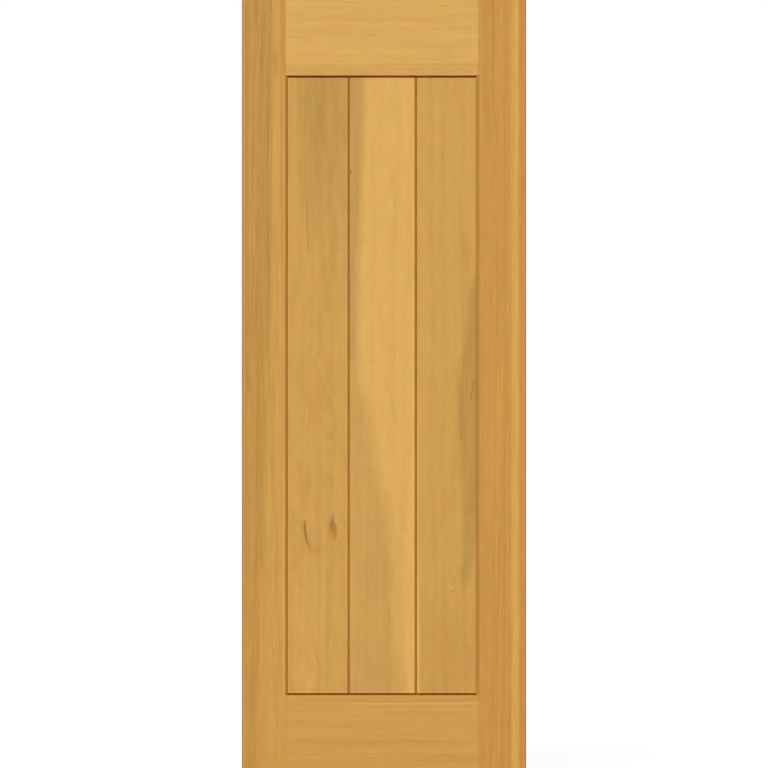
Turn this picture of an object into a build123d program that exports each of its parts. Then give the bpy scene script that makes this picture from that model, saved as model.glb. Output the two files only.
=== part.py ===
from build123d import *
import os

# A framed plank door leaf, hung on three butt hinges, in millimetres.
# Origin: middle of the leaf's bottom edge. +X to the lock stile, +Y to the hinge barrels, +Z up.
# The leaf's front face looks towards -Y, and its hinge edge is at the low X end.

# Leaf
leaf_width = 711.2
leaf_height = 2032.0
leaf_thickness = 35.0

# Stiles and rails
hinge_stile_width = 114.3
lock_stile_width = 125.0
top_rail_height = 241.3
bottom_rail_height = 241.3
sticking_width = 7.0
sticking_depth = 5.0
arris_radius = 1.6
rail_arris = 1.0

# Tongues and grooves, shared by the frame and the planks
groove_width = 10.3
groove_depth = 12.0
tongue_length = 10.0
tongue_fit = 0.15
stub_spare = 0.5

# Planks
plank_recess = 2.5
plank_width_shares = (0.330, 0.3565, 0.3135)
plank_side_gap = 0.6
plank_joint_gap = 0.5
plank_end_gap = 4.4
plank_bevel_width = 7.0
plank_bevel_depth = 4.0
plank_arris = 0.9

# Dowels in the four corner joints
dowel_diameter = 16.0
dowel_length = 120.0
dowel_end_bevel = 1.5
dowel_fit = 0.1
dowel_hole_spare = 1.0
dowel_height_shares = (0.22, 0.50, 0.78)

# Hinges
hinge_length = 101.6
hinge_leaf_thickness = 3.0
hinge_leaf_gap = 1.0
hinge_top_setback = 178.0
hinge_bottom_setback = 279.0
hinge_backset = 5.0
hinge_stand_off = 0.2
hinge_gain_fit = 0.2
barrel_stand_off = 0.5
barrel_side_room = 0.3
knuckle_count = 5
knuckle_end_room = 0.3
pin_diameter = 7.0
pin_running_fit = 0.05
pin_head_diameter = 11.0
pin_head_height = 2.4
pin_head_round = 1.0
pin_tip_height = 1.8

# Hinge screws
screw_diameter = 4.8
screw_head_diameter = 8.8
screw_length = 28.0
screw_point_length = 7.0
screw_point_diameter = 0.8
screw_fit = 0.1
screw_recess_length = 5.0
screw_recess_width = 1.1
screw_recess_depth = 1.4
frame_screw_diameter = 5.5
frame_screw_head_diameter = 10.0
outer_screw_line_share = 0.30
inner_screw_line_share = 0.66
outer_screw_height_shares = (0.12, 0.88)
inner_screw_height_shares = (0.37, 0.63)

# Reach of a cut past the face that it opens
overrun = 5.0

# Planes and heights that the pieces share
half_thickness = leaf_thickness / 2
hinge_edge = -leaf_width / 2
lock_edge = leaf_width / 2
opening_left = hinge_edge + hinge_stile_width
opening_right = lock_edge - lock_stile_width
opening_bottom = bottom_rail_height
opening_top = leaf_height - top_rail_height
groove_half = groove_width / 2
tongue_half = groove_half - tongue_fit
plank_half = half_thickness - plank_recess
pin_radius = pin_diameter / 2
bore_radius = pin_radius + pin_running_fit
barrel_radius = bore_radius + hinge_leaf_thickness
pin_y = half_thickness + barrel_stand_off + barrel_radius
frame_leaf_outer = hinge_edge - hinge_stand_off
frame_leaf_inner = frame_leaf_outer + hinge_leaf_thickness
door_leaf_outer = frame_leaf_inner + hinge_leaf_gap
door_leaf_inner = door_leaf_outer + hinge_leaf_thickness
pin_x = frame_leaf_outer + barrel_radius
hinge_leaf_front = -half_thickness + hinge_backset
hinge_seat_width = half_thickness - hinge_leaf_front
bottom_hinge_base = hinge_bottom_setback
top_hinge_base = leaf_height - hinge_top_setback - hinge_length
middle_hinge_base = (bottom_hinge_base + top_hinge_base) / 2
hinge_bases = {"top": top_hinge_base, "middle": middle_hinge_base, "bottom": bottom_hinge_base}


def block(low, high):
    """A box between its lowest and its highest corner."""
    size = [b - a for a, b in zip(low, high)]
    return Pos(*low) * Box(*size, align=(Align.MIN, Align.MIN, Align.MIN))


def upright(outline, low, high):
    """A prism with this plan outline, from height low to height high."""
    face = make_face(Polyline(*outline, close=True))
    return Pos(0, 0, low) * extrude(face, amount=high - low, dir=(0, 0, 1))


def turned(section):
    """A solid of revolution about +Z, from the radii and heights of its half section."""
    points = [(radius, 0, height) for radius, height in section]
    return revolve(make_face(Polyline(*points, close=True)), axis=Axis.Z)


def along_x(place):
    """The location at this place that turns a solid's +Z to +X."""
    return Pos(*place) * Rot(0, 90, 0)


# Dowels
dowel_radius = dowel_diameter / 2
dowel_half = dowel_length / 2


def dowel_places(joint_x, low, height):
    """The middles of the dowels in one corner joint, up the rail's end."""
    return [(joint_x, 0, low + height * share) for share in dowel_height_shares]


def dowel(place):
    """A round peg along X, bevelled at both ends."""
    bevelled = dowel_radius - dowel_end_bevel
    straight = dowel_half - dowel_end_bevel
    section = [
        (0, -dowel_half),
        (bevelled, -dowel_half),
        (dowel_radius, -straight),
        (dowel_radius, straight),
        (bevelled, dowel_half),
        (0, dowel_half),
    ]
    return along_x(place) * turned(section)


def dowel_hole(place):
    """The hole for a dowel, a little wider and longer than the dowel."""
    return along_x(place) * Cylinder(dowel_radius + dowel_fit, dowel_length + 2 * dowel_hole_spare)


corner_dowels = {
    "top_left": dowel_places(opening_left, opening_top, top_rail_height),
    "top_right": dowel_places(opening_right, opening_top, top_rail_height),
    "bottom_left": dowel_places(opening_left, 0, bottom_rail_height),
    "bottom_right": dowel_places(opening_right, 0, bottom_rail_height),
}


# Hinge pieces, each built at its own height up the hinge edge
def knuckle_spans():
    """The lower and upper end of each knuckle, measured from the hinge's foot."""
    pitch = hinge_length / knuckle_count
    room = knuckle_end_room / 2
    spans = []
    for number in range(knuckle_count):
        low = 0 if number == 0 else number * pitch + room
        high = hinge_length if number == knuckle_count - 1 else (number + 1) * pitch - room
        spans.append((low, high))
    return spans


frame_knuckles = knuckle_spans()[0::2]
door_knuckles = knuckle_spans()[1::2]
screw_radius = screw_diameter / 2
screw_head_radius = screw_head_diameter / 2
screw_hole_radius = screw_radius + screw_fit
screw_sink_radius = screw_head_radius + screw_fit
frame_hole_radius = frame_screw_diameter / 2 + screw_fit
frame_sink_radius = frame_screw_head_diameter / 2 + screw_fit
screw_head_depth = screw_head_radius - screw_radius
screw_rows = (
    (outer_screw_line_share, outer_screw_height_shares),
    (inner_screw_line_share, inner_screw_height_shares),
)


def screw_places(face_x, base):
    """Where the screws enter a hinge leaf: an outer pair and an inner pair, staggered."""
    places = []
    for line_share, height_shares in screw_rows:
        y = hinge_leaf_front + hinge_seat_width * line_share
        for share in height_shares:
            places.append((face_x, y, base + hinge_length * share))
    return places


def barrel_cylinder(radius, low, high):
    """A cylinder about the pin's axis, from height low to height high."""
    middle = (low + high) / 2
    return Pos(pin_x, pin_y, middle) * Cylinder(radius, high - low)


def sunk_hole(place, hole_radius, sink_radius):
    """A countersunk screw hole that opens at this place and runs towards +X."""
    section = [
        (0, 0),
        (sink_radius, 0),
        (hole_radius, sink_radius - hole_radius),
        (hole_radius, hinge_leaf_thickness + overrun),
        (0, hinge_leaf_thickness + overrun),
    ]
    return along_x(place) * turned(section)


def hinge_leaf(low_x, high_x, base, own_spans, other_spans):
    """One leaf of a hinge: a plate with its own knuckles, cut clear of the other leaf's."""
    leaf = block((low_x, hinge_leaf_front, base), (high_x, pin_y, base + hinge_length))
    for low, high in own_spans:
        leaf += barrel_cylinder(barrel_radius, base + low, base + high)
    reach = barrel_radius + barrel_side_room
    for low, high in other_spans:
        bottom = base + low - knuckle_end_room
        top = base + high + knuckle_end_room
        bottom = base - overrun if low == 0 else bottom
        top = base + hinge_length + overrun if high == hinge_length else top
        leaf -= block((pin_x - reach, pin_y - reach, bottom), (pin_x + reach, pin_y + reach, top))
    return leaf - barrel_cylinder(bore_radius, base - overrun, base + hinge_length + overrun)


def frame_leaf(base):
    """The leaf for the door frame, with holes for heavier screws sunk on the door's side."""
    leaf = hinge_leaf(frame_leaf_outer, frame_leaf_inner, base, frame_knuckles, door_knuckles)
    hole = Rot(0, 180, 0) * sunk_hole((0, 0, 0), frame_hole_radius, frame_sink_radius)
    for place in screw_places(frame_leaf_inner, base):
        leaf -= Pos(*place) * hole
    return leaf


def door_leaf(base):
    """The leaf that is let into the door's edge, with its holes sunk on the frame's side."""
    leaf = hinge_leaf(door_leaf_outer, door_leaf_inner, base, door_knuckles, frame_knuckles)
    for place in screw_places(door_leaf_outer, base):
        leaf -= sunk_hole(place, screw_hole_radius, screw_sink_radius)
    return leaf


def hinge_pin(base):
    """A plain pin with a button head on the top knuckle and a coned tip below the bottom one."""
    head_radius = pin_head_diameter / 2
    head_top = hinge_length + pin_head_height
    section = [
        (0, -pin_tip_height),
        (pin_radius - pin_tip_height, -pin_tip_height),
        (pin_radius, 0),
        (pin_radius, hinge_length),
        (head_radius, hinge_length),
        (head_radius, head_top - pin_head_round),
        (head_radius - pin_head_round, head_top),
        (0, head_top),
    ]
    return Pos(pin_x, pin_y, base) * turned(section)


def wood_screw(place):
    """A countersunk wood screw along +X, with a cross recess in its head."""
    section = [
        (0, 0),
        (screw_head_radius, 0),
        (screw_radius, screw_head_depth),
        (screw_radius, screw_length - screw_point_length),
        (screw_point_diameter / 2, screw_length),
        (0, screw_length),
    ]
    screw = turned(section)
    for length, width in (
        (screw_recess_length, screw_recess_width),
        (screw_recess_width, screw_recess_length),
    ):
        screw -= Box(length, width, 2 * screw_recess_depth)
    return along_x(place) * screw


def hinge_gain(base):
    """The recess that takes the whole closed hinge in the stile's edge, with its screw holes."""
    low = (hinge_edge - overrun, hinge_leaf_front - hinge_gain_fit, base - hinge_gain_fit)
    high = (door_leaf_inner, half_thickness + overrun, base + hinge_length + hinge_gain_fit)
    gain = block(low, high)
    foot = (Align.CENTER, Align.CENTER, Align.MIN)
    for place in screw_places(door_leaf_outer, base):
        gain += along_x(place) * Cylinder(screw_hole_radius, screw_length + screw_fit, align=foot)
    return gain


# Frame
def stile(outer, width, inwards, corners):
    """A full-height stile: bevelled sticking and a plank groove down its inner edge."""
    inner = outer + inwards * width
    face_edge = inner - inwards * sticking_width
    groove_floor = inner - inwards * groove_depth
    lip = half_thickness - sticking_depth
    outline = [
        (outer, -half_thickness),
        (face_edge, -half_thickness),
        (inner, -lip),
        (inner, -groove_half),
        (groove_floor, -groove_half),
        (groove_floor, groove_half),
        (inner, groove_half),
        (inner, lip),
        (face_edge, half_thickness),
        (outer, half_thickness),
    ]
    board = upright(outline, 0, leaf_height)
    by_side = board.edges().filter_by(Axis.Z).group_by(Axis.X)
    outer_edges = by_side[0] if inwards > 0 else by_side[-1]
    board = fillet(outer_edges, arris_radius)
    for corner in corners:
        for place in corner_dowels[corner]:
            board -= dowel_hole(place)
    return board


def hinge_stile():
    """The stile on the hinge edge, with three gains."""
    board = stile(hinge_edge, hinge_stile_width, 1, ("top_left", "bottom_left"))
    for base in hinge_bases.values():
        board -= hinge_gain(base)
    return board


def lock_stile():
    """The stile on the free edge."""
    return stile(lock_edge, lock_stile_width, -1, ("top_right", "bottom_right"))


def rail(low, high, inner_height, groove_end, corners):
    """A rail coped over the stiles' sticking, with stub tongues and a groove for the planks' ends."""
    lip = half_thickness - sticking_depth
    stub = groove_depth - stub_spare
    outline = [
        (opening_left - sticking_width, -half_thickness),
        (opening_right + sticking_width, -half_thickness),
        (opening_right, -lip),
        (opening_right, -groove_half),
        (opening_right + stub, -groove_half),
        (opening_right + stub, groove_half),
        (opening_right, groove_half),
        (opening_right, lip),
        (opening_right + sticking_width, half_thickness),
        (opening_left - sticking_width, half_thickness),
        (opening_left, lip),
        (opening_left, groove_half),
        (opening_left - stub, groove_half),
        (opening_left - stub, -groove_half),
        (opening_left, -groove_half),
        (opening_left, -lip),
    ]
    board = upright(outline, low, high)
    by_height = board.edges().filter_by(Axis.X).group_by(Axis.Z)
    inner_edges = by_height[0] if inner_height == low else by_height[-1]
    by_face = inner_edges.group_by(Axis.Y)
    board = chamfer(by_face[0] + by_face[-1], rail_arris)
    groove_low, groove_high = sorted((inner_height, groove_end))
    board -= block((hinge_edge, -groove_half, groove_low), (lock_edge, groove_half, groove_high))
    for corner in corners:
        for place in corner_dowels[corner]:
            board -= dowel_hole(place)
    return board


def top_rail():
    """The rail above the planks."""
    groove_end = opening_top + groove_depth
    return rail(opening_top, leaf_height, opening_top, groove_end, ("top_left", "top_right"))


def bottom_rail():
    """The rail below the planks, which stand in its groove."""
    groove_end = opening_bottom - groove_depth
    return rail(0, bottom_rail_height, opening_bottom, groove_end, ("bottom_left", "bottom_right"))


# Planks
def plank_spans():
    """The left and right shoulder of each plank across the opening."""
    joints = len(plank_width_shares) - 1
    boards = opening_right - opening_left - 2 * plank_side_gap - joints * plank_joint_gap
    spans = []
    left = opening_left + plank_side_gap
    for share in plank_width_shares:
        right = left + boards * share
        spans.append((left, right))
        left = right + plank_joint_gap
    return spans


def plank(left, right, next_to_stile):
    """A plank: a tongue on its left, a bevel and a groove or a tongue on its right, tongued ends.

    The groove is as deep as the next plank's tongue reaches, so no light comes through the joint.
    """
    groove_floor = right + plank_joint_gap - tongue_length
    left_side = [
        (left, tongue_half),
        (left - tongue_length, tongue_half),
        (left - tongue_length, -tongue_half),
        (left, -tongue_half),
        (left, plank_arris - plank_half),
        (left + plank_arris, -plank_half),
    ]
    bevelled_groove = [
        (right - plank_bevel_width, -plank_half),
        (right, plank_bevel_depth - plank_half),
        (right, -groove_half),
        (groove_floor, -groove_half),
        (groove_floor, groove_half),
        (right, groove_half),
        (right, plank_half - plank_bevel_depth),
        (right - plank_bevel_width, plank_half),
    ]
    square_tongue = [
        (right - plank_arris, -plank_half),
        (right, plank_arris - plank_half),
        (right, -tongue_half),
        (right + tongue_length, -tongue_half),
        (right + tongue_length, tongue_half),
        (right, tongue_half),
        (right, plank_half - plank_arris),
        (right - plank_arris, plank_half),
    ]
    back_left = [
        (left + plank_arris, plank_half),
        (left, plank_half - plank_arris),
    ]
    right_side = square_tongue if next_to_stile else bevelled_groove
    foot = opening_bottom - groove_depth
    head = opening_top + tongue_length
    low_shoulder = opening_bottom + plank_end_gap
    high_shoulder = opening_top - plank_end_gap
    core = upright(left_side + right_side + back_left, low_shoulder, high_shoulder)
    by_face = core.edges().filter_by(Axis.X).group_by(Axis.Y)
    core = chamfer(by_face[0] + by_face[-1], plank_arris)
    end_right = right + tongue_length if next_to_stile else groove_floor
    end_tongue = block((left - tongue_length, -tongue_half, foot), (end_right, tongue_half, head))
    return core + end_tongue


# All nodes
nodes = {
    "hinge_stile": hinge_stile(),
    "lock_stile": lock_stile(),
    "top_rail": top_rail(),
    "bottom_rail": bottom_rail(),
}
plank_names = ("plank_left", "plank_middle", "plank_right")
for name, (left, right) in zip(plank_names, plank_spans()):
    nodes[name] = plank(left, right, name == plank_names[-1])
for corner, places in corner_dowels.items():
    nodes[f"{corner}_dowels"] = Compound(children=[dowel(place) for place in places])
for height_name, base in hinge_bases.items():
    nodes[f"{height_name}_hinge_frame_leaf"] = frame_leaf(base)
    nodes[f"{height_name}_hinge_door_leaf"] = door_leaf(base)
    nodes[f"{height_name}_hinge_pin"] = hinge_pin(base)
    screws = [wood_screw(place) for place in screw_places(door_leaf_outer, base)]
    nodes[f"{height_name}_hinge_screws"] = Compound(children=screws)

os.makedirs("parts", exist_ok=True)
for name, solid in nodes.items():
    export_step(solid, f"parts/{name}.step")
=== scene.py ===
import math
from typing import NamedTuple

import bpy
import numpy as np
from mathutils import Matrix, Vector


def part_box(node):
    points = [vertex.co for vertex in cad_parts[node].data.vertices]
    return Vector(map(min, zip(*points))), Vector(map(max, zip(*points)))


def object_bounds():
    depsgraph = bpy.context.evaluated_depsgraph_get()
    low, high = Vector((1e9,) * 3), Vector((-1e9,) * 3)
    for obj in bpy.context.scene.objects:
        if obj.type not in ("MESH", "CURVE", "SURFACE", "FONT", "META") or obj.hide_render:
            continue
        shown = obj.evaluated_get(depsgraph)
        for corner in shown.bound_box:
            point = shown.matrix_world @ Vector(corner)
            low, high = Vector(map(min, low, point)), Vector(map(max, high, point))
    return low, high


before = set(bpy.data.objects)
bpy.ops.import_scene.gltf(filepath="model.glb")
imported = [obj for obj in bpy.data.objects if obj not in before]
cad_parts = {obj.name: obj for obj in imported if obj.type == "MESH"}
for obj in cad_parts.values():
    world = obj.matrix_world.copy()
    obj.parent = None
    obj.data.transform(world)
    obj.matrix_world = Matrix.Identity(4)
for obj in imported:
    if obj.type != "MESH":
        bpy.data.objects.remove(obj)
cad_low, cad_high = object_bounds()

# Materials work in millimetres of the door's own frame: X to the lock stile, Y to the back, Z up.
MM = 0.001
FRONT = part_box("lock_stile")[0].y
FRAME_FACE = -FRONT / MM
PLANK_FACE = -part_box("plank_middle")[0].y / MM
HINGE_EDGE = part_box("hinge_stile")[0].x / MM
LOCK_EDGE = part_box("lock_stile")[1].x / MM
DOOR_MIDDLE = cad_high.z / MM / 2
OPENING_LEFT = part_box("hinge_stile")[1].x / MM
OPENING_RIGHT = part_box("lock_stile")[0].x / MM
OPENING_MIDDLE = (OPENING_LEFT + OPENING_RIGHT) / 2
OPENING_HALF = (OPENING_RIGHT - OPENING_LEFT) / 2
OPENING_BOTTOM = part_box("bottom_rail")[1].z / MM
OPENING_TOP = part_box("top_rail")[0].z / MM
LEFT_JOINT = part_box("plank_left")[1].x / MM
RIGHT_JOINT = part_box("plank_middle")[1].x / MM
PLANK_END_GAP = 4.4
PLANK_TOP = OPENING_TOP - PLANK_END_GAP
PLANK_BOTTOM = OPENING_BOTTOM + PLANK_END_GAP
FRAME_RECESS_REACH = 12.5
PLANK_BEVEL_REACH = 7.5
WHOLE_DOOR_REACH = 10000.0

# How a material's millimetres lie in the door's metres, and for a rail with its grain turned level
UPRIGHT_SCALE = (1 / MM, 1 / MM, 1 / MM)
LEVEL_SCALE = (-1 / MM, 1 / MM, 1 / MM)
LEVEL_TURN = (0, math.pi / 2, 0)

# Tones of the bare wood and metal, as screen colours of 0 to 255
TOP_RAIL_TONE = (217, 169, 89)
BOTTOM_RAIL_TONE = (209, 157, 78)
HINGE_STILE_TONE = (208, 157, 76)
LOCK_STILE_TONE = (208, 152, 71)
PLANK_LEFT_TONE = (207, 158, 79)
PLANK_MIDDLE_TONE = (221, 172, 90)
PLANK_RIGHT_TONE = (206, 158, 77)
DOWEL_TONE = (222, 190, 140)
HINGE_LEAF_TONE = (196, 192, 184)
HINGE_PIN_TONE = (202, 198, 190)
SCREW_TONE = (188, 184, 176)

# Tints of the grain, which a layer multiplies the wood by
LATE_WOOD = (0.925, 0.905, 0.82)
FIBRE = (0.91, 0.885, 0.80)
DASH = (0.875, 0.84, 0.71)
FLECK = (1.05, 1.065, 1.12)
HAIR = (0.90, 0.87, 0.77)
PORE = (0.855, 0.81, 0.67)
ROSY = (1.00, 0.955, 0.95)
MOSSY = (0.955, 0.985, 0.93)

# Tints of heart, patches, trails and knots
GREEN_HEART = (0.805, 0.82, 0.75)
BROWN_HEART = (0.80, 0.765, 0.75)
BROWN_PATCH = (0.79, 0.77, 0.735)
SHADY = (0.86, 0.86, 0.85)
FOOT_SHADE = (0.87, 0.84, 0.84)
DARK = (0.83, 0.785, 0.64)
RUDDY = (0.88, 0.80, 0.76)
PALE = (1.09, 1.12, 1.20)
GLEAM = (1.22, 1.28, 1.50)
ORANGE = (0.96, 0.93, 0.86)
PALE_BAND = (1.14, 1.25, 1.36)
FREE_EDGE = (0.98, 0.94, 0.98)
RAIL_FOOT = (0.87, 0.845, 0.77)
KNOT = (0.52, 0.37, 0.17)
KNOT_RED = (0.86, 0.62, 0.45)

# Tints on edges and in the bevels and gaps: painted highlights and painted shade, stain gathered in the
# bevels, and darker joints, rail ends and end grain
# Painted shade on the stiles' rounded outer arrises
ARRIS_SHADE = (0.74, 0.78, 0.78)
# Painted highlights along edges and in lines near them
GLINT = (1.11, 1.13, 1.28)
ROSY_GLINT = (1.00, 0.95, 1.25)
JOINT_LINE = (0.935, 0.92, 0.85)
TOP_RAIL_END = (0.89, 0.83, 0.73)
END_GRAIN = (0.80, 0.74, 0.66)
# Painted shade deep in the top and bottom gaps, and painted light where it reaches low in the bottom gap
TOP_GAP_SHADE = (1.00, 0.46, 0.02)
BOTTOM_GAP_SHADE = (0.78, 0.42, 0.01)
LIT_GAP = (2.50, 3.10, 4.20)
# Painted shade and stain in the stiles' bevels, a painted highlight on the hinge bevel's upper part, painted
# shade on the lock bevel's upper part and beside it
HINGE_BEVEL_STAIN_AND_SHADE = (0.84, 0.72, 0.56)
HINGE_BEVEL_BROW_HIGHLIGHT = (1.06, 1.08, 1.10)
LOCK_BEVEL_STAIN_AND_SHADE = (0.98, 0.97, 0.98)
LOCK_BEVEL_BROW_SHADE = (0.72, 0.69, 0.68)
LOCK_BEVEL_SIDE_SHADE = (0.885, 0.90, 0.94)
# Painted shade colour on the top rail's downward arris, and a painted highlight on the bottom rail's upward
# arris
TOP_RAIL_ARRIS_SHADE = (1.15, 0.86, 0.50)
BOTTOM_RAIL_ARRIS_HIGHLIGHT = (1.15, 1.06, 0.88)
# Painted shade and stain in the planks' bevels, and painted shade on their upper parts
LEFT_PLANK_BEVEL_STAIN_AND_SHADE = (0.86, 0.76, 0.57)
MIDDLE_PLANK_BEVEL_STAIN_AND_SHADE = (0.68, 0.57, 0.39)
PLANK_BROW_SHADE = (0.865, 0.81, 0.74)
# Painted shade on the planks' top and bottom ends
PLANK_TOP_END_SHADE = (0.58, 0.42, 0.40)
PLANK_BOTTOM_END_SHADE = (0.70, 0.60, 0.30)

# Sizes of noise in millimetres across, through and along the grain
SLOW_WAVER_SIZE = (60, 60, 330)
QUICK_WAVER_SIZE = (14, 14, 90)
GRAIN_WAVE_SIZE = (60, 60, 150)
THIN_FIBRE_SIZE = (1.3, 1.3, 60)
BROAD_FIBRE_SIZE = (7, 7, 150)
STREAK_SIZE = (2.4, 2.4, 230)
DASH_SIZE = (2.4, 4, 42)
HAIR_SIZE = (0.5, 0.5, 38)
PORE_SIZE = (0.35, 0.35, 6)
HUE_SIZE = (28, 28, 44)
BROAD_SHADE_SIZE = (20, 20, 110)
SMALL_SHADE_SIZE = (10, 10, 36)
SWAY_SIZE = (32, 32, 80)
FEATHER_SIZE = (2.6, 2.6, 140)
HEART_STREAK_SIZE = (7, 7, 210)
BRUSH_LINE_SIZE = (0.25, 0.25, 14)
SMUDGE_SIZE = (9, 9, 14)

# Steps from a board's seed, which keep its layers of noise apart, and seeds of the metal's noise
SWAY_SEED = 3
FEATHER_SEED = 5
STREAK_SEED = 9
HUE_SEED = 11
BROAD_SHADE_SEED = 13
SMALL_SHADE_SEED = 15
HEART_STREAK_SEED = 17
HAIR_SEED = 21
BRUSH_SEED = 0
SMUDGE_SEED = 4

# Values of noise, or of a ring's part, between which a mask rises or falls
LATE_WOOD_RISE = (0.15, 0.85)
LATE_WOOD_FALL = (0.85, 1.0)
RING_TONE_RISE = (0.35, 0.75)
FIBRE_RISE = (0.38, 0.66)
STREAK_RISE = (0.54, 0.72)
DASH_RISE = (0.58, 0.74)
FLECK_FALL = (0.28, 0.42)
HAIR_RISE = (0.48, 0.66)
PORE_RISE = (0.62, 0.72)
ROSY_RISE = (0.50, 0.70)
MOSSY_FALL = (0.30, 0.50)
SHADE_RISE = (0.38, 0.64)
SOFT_STREAK_RISE = (0.36, 0.64)
BRUSH_RISE = (0.3, 0.7)

# Depths below a face and places near an edge, in millimetres, between which the painted shade and
# highlights, the stain and the end grain change
BEVEL_RISE = (0.1, 0.8)
BROW_FALL = (1.6, 3.2)
GAP_RISE = (5.5, 8.5)
RECESS_EDGE = 0.5
OUTER_ARRIS_RISE = (FRAME_FACE - 3.5, FRAME_FACE - 2.0)
END_GRAIN_RISE = (DOOR_MIDDLE - 0.4, DOOR_MIDDLE - 0.1)

# Lines along an edge, in millimetres: full within the first distance, gone at the second
BEVEL_LINE = (0.8, 2.6)
LOCK_BEVEL_LINE = (1.0, 2.4)
PLANK_ARRIS_LINE = (1.6, 3.2)
OUTER_ARRIS_LINE = (1.8, 3.2)
RAIL_DARK_LINE = (0.8, 2.4)
RAIL_GLINT_LINE = (0.8, 1.8)
PLANK_TOP_LINE = (1.0, 2.2)
PLANK_BOTTOM_LINE = (1.0, 1.9)

# Shares of the layers that every board has, and its finish
SLOW_WAVER = 2.0
QUICK_WAVER = 0.6
RING_TONE_PACE = 0.7
THIN_FIBRE_SHARE = 0.5
BROAD_FIBRE_SHARE = 0.5
BROAD_SHADE_SHARE = 0.6
SMALL_SHADE_SHARE = 0.4
HAIR_SHARE = 0.6
PORE_SHARE = 0.5
RING_RELIEF = 0.25
FIBRE_RELIEF = 0.5
HAIR_RELIEF = 0.2
PORE_RELIEF = 0.4
SWAY = 5.0
LINE_MARGIN = 1.0
FINISH_ROUGHNESS = 0.38
FIBRE_ROUGHNESS = 0.16
FINISH_SPECULAR = 0.30
GRAIN_BUMP = 0.25
GRAIN_DEPTH = 0.0003
NOISE_MIDDLE = 0.5
NOISE_ROUGHNESS = 0.55


# Node helpers
def linear(tone):
    """A screen colour of 0 to 255 as the linear colour with alpha that a node takes."""
    share = np.asarray(tone, float) / 255
    light = np.where(share <= 0.04045, share / 12.92, ((share + 0.055) / 1.055) ** 2.4)
    return (*light.tolist(), 1.0)


def plug(tree, feed, slot):
    """Feeds a socket from a wire, from another socket or with a plain value."""
    if isinstance(feed, Wire):
        tree.links.new(feed.socket, slot)
    elif isinstance(feed, bpy.types.NodeSocket):
        tree.links.new(feed, slot)
    else:
        slot.default_value = feed


def add(tree, kind, feeds=None, **settings):
    """A new node with these settings, its sockets fed by name or number."""
    made = tree.nodes.new(kind)
    for setting, value in settings.items():
        setattr(made, setting, value)
    for slot, feed in (feeds or {}).items():
        plug(tree, feed, made.inputs[slot])
    return made


class Wire:
    """A number that runs through a node tree: sums and products of wires become Math nodes."""

    def __init__(self, tree, socket):
        self.tree = tree
        self.socket = socket

    def maths(self, operation, *others):
        feeds = dict(enumerate((self, *others)))
        made = add(self.tree, "ShaderNodeMath", feeds, operation=operation)
        return Wire(self.tree, made.outputs[0])

    def __add__(self, other):
        return self.maths("ADD", other)

    def __sub__(self, other):
        return self.maths("SUBTRACT", other)

    def __mul__(self, other):
        return self.maths("MULTIPLY", other)

    def __truediv__(self, other):
        return self.maths("DIVIDE", other)

    def __abs__(self):
        return self.maths("ABSOLUTE")

    def root(self):
        return self.maths("SQRT")

    def fraction(self):
        return self.maths("FRACT")

    def larger(self, other):
        return self.maths("MAXIMUM", other)

    def inverse(self):
        """One minus the wire."""
        return self.maths("MULTIPLY_ADD", -1.0, 1.0)

    def rise(self, start, end):
        """A smooth step from 0 at start to 1 at end."""
        feeds = {"Value": self, "From Min": start, "From Max": end}
        made = add(self.tree, "ShaderNodeMapRange", feeds, interpolation_type="SMOOTHSTEP")
        return Wire(self.tree, made.outputs["Result"])

    def fall(self, start, end):
        """A smooth step from 1 at start to 0 at end."""
        return self.rise(start, end).inverse()

    def near(self, place, full, gone):
        """1 within a full distance of a place, falling to 0 at the distance where it is gone."""
        return abs(self - place).fall(full, gone)


def split(tree, vector):
    """The three parts of a vector, as wires."""
    made = add(tree, "ShaderNodeSeparateXYZ", {0: vector})
    return [Wire(tree, socket) for socket in made.outputs]


def noise(tree, board, size, seed, detail=2.0):
    """Noise of 0 to 1 whose blotches have this size in millimetres across, through and along."""
    scaled = add(tree, "ShaderNodeVectorMath", {0: board, 1: [1 / s for s in size]}, operation="MULTIPLY")
    feeds = {"Vector": scaled.outputs[0], "W": seed, "Scale": 1.0}
    feeds |= {"Detail": detail, "Roughness": NOISE_ROUGHNESS}
    made = add(tree, "ShaderNodeTexNoise", feeds, noise_dimensions="4D")
    return Wire(tree, made.outputs[0])


def swing(tree, board, size, seed, detail=2.0):
    """The same noise about zero."""
    return noise(tree, board, size, seed, detail) - NOISE_MIDDLE


# Sockets of a colour Mix node, which has several of each name
MIX_SHARE = 0
MIX_FIRST = 6
MIX_SECOND = 7
MIX_RESULT = 2


def multiply(tree, colour, tint, mask):
    """The colour, multiplied by a tint where the mask is 1."""
    made = add(tree, "ShaderNodeMix", data_type="RGBA", blend_type="MULTIPLY")
    plug(tree, mask, made.inputs[MIX_SHARE])
    plug(tree, colour, made.inputs[MIX_FIRST])
    plug(tree, (*tint, 1.0), made.inputs[MIX_SECOND])
    return made.outputs[MIX_RESULT]


def new_material(name):
    """An empty node material; gives it and its tree."""
    material = bpy.data.materials.new(name)
    material.use_nodes = True
    material.node_tree.nodes.clear()
    return material, material.node_tree


def new_group(name, inputs, outputs):
    """An empty node group; gives its tree, a dict of its inputs as wires, and its outgoing sockets."""
    tree = bpy.data.node_groups.new(name, "ShaderNodeTree")
    for socket, kind in inputs.items():
        tree.interface.new_socket(socket, in_out="INPUT", socket_type="NodeSocket" + kind)
    for socket in outputs:
        tree.interface.new_socket(socket, in_out="OUTPUT", socket_type="NodeSocketFloat")
    entry = tree.nodes.new("NodeGroupInput")
    leave = tree.nodes.new("NodeGroupOutput")
    wires = {socket.name: Wire(tree, socket) for socket in entry.outputs if socket.name}
    return tree, wires, leave.inputs


def numbers(*names):
    """Group inputs that are plain numbers."""
    return {name: "Float" for name in names}


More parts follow.
